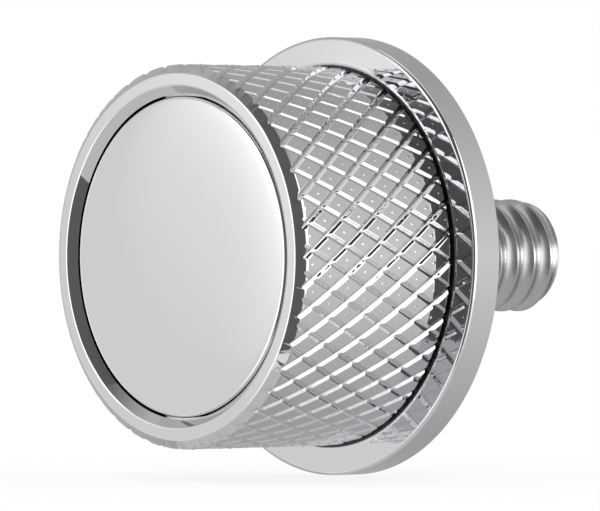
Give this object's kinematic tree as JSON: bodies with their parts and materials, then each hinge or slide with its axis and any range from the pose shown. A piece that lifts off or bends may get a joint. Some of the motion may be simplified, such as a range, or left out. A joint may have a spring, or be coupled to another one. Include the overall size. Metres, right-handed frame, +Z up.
{
  "type": "seat mounting knob",
  "caption": "Round thumb screw with a diamond-knurled head, a plain polished disc let into its face, a wide flange and a threaded stud, for fastening a seat by hand.",
  "frame": {"origin": "middle of the flange's back face, where the stud leaves it", "axes": "+Y along the stud away from the head, so the face looks to -Y; +Z up"},
  "size_m": [0.0242, 0.0262, 0.0242],
  "materials": {
    "chrome_plate": "bright chrome plate on a turned and knurled head",
    "polished_disc": "mirror-polished flat disc with a softened edge",
    "zinc_steel": "satin zinc-plated rolled thread"
  },
  "bodies": {
    "root": {"knurled_knob": "chrome_plate", "face_disc": "polished_disc", "threaded_stud": "zinc_steel"}
  },
  "joints": []
}
